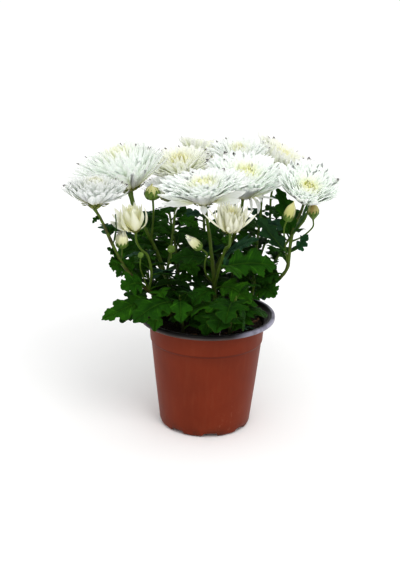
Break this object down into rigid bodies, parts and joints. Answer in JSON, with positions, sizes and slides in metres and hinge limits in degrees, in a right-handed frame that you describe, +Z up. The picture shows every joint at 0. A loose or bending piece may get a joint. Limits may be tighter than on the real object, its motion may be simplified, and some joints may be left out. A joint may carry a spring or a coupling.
{
  "type": "pot chrysanthemum",
  "caption": "Bushy potted chrysanthemum: white many-petalled heads and cream buds on forking stems over lobed dark green leaves, in a tapered plastic nursery pot with a broad rolled rim.",
  "frame": {"origin": "centre of the pot's flat foot, on the surface that it stands on", "axes": "+Z up along the pot's axis; -Y towards the plant's front, where the low half-open head and the front leaf that hangs over the rim are; +X to the right seen from the front"},
  "size_m": [0.2472, 0.2536, 0.2672],
  "materials": {
    "pot_plastic": "terracotta brown moulded plastic, dull on the outside",
    "potting_mix": "dark crumbly peat-based potting mix, matte",
    "stem": "ribbed green plant stem, satin",
    "leaf": "dark green leaf with paler veins, satin",
    "petal": "white to cream petals, matte",
    "bud_cream": "cream petals breaking out of green bracts, matte",
    "bud_green": "yellow-green bracts, matte"
  },
  "bodies": {
    "root": {"nursery_pot": "pot_plastic", "potting_soil": "potting_mix", "stem_far_left": "stem", "stem_left": "stem", "stem_front": "stem", "stem_centre_right": "stem", "stem_right": "stem", "stem_half_open_left": "stem", "stem_back_left": "stem", "stem_rear_left": "stem", "stem_half_open_front": "stem", "stem_back": "stem", "stem_rear_low": "stem", "stem_back_centre": "stem", "stem_rear_right": "stem", "stem_back_right": "stem", "stem_inner_right": "stem", "flower_far_left": "petal", "flower_left": "petal", "flower_back_left": "petal", "flower_front": "petal", "flower_centre_right": "petal", "flower_back_right": "petal", "flower_right": "petal", "flower_back_centre": "petal", "flower_half_open_left": "petal", "flower_half_open_front": "petal", "flower_back": "petal", "flower_rear_left": "petal", "flower_rear_low": "petal", "flower_rear_right": "petal", "flower_inner_right": "petal", "bud_opening_left": "bud_cream", "bud_opening_front": "bud_cream", "bud_right": "bud_cream", "bud_far_right": "bud_cream", "bud_green_centre": "bud_green", "bud_opening_back": "bud_cream", "bud_green_left": "bud_green", "leaf_front_left_low": "leaf", "leaf_over_rim_left": "leaf", "leaf_left_round": "leaf", "leaf_left_middle": "leaf", "leaf_centre_right_low": "leaf", "leaf_centre_left_low": "leaf", "leaf_centre_broad": "leaf", "leaf_right_low": "leaf", "leaf_inside_right": "leaf", "leaf_inside_front": "leaf", "leaf_blue_left": "leaf", "leaf_dark_right": "leaf", "leaf_upper_right": "leaf", "leaf_centre_back": "leaf", "leafy_shoot_1": "leaf", "leafy_shoot_2": "leaf", "leafy_shoot_3": "leaf", "leafy_shoot_4": "leaf", "leafy_shoot_5": "leaf", "leafy_shoot_6": "leaf", "leafy_shoot_7": "leaf"}
  },
  "joints": []
}
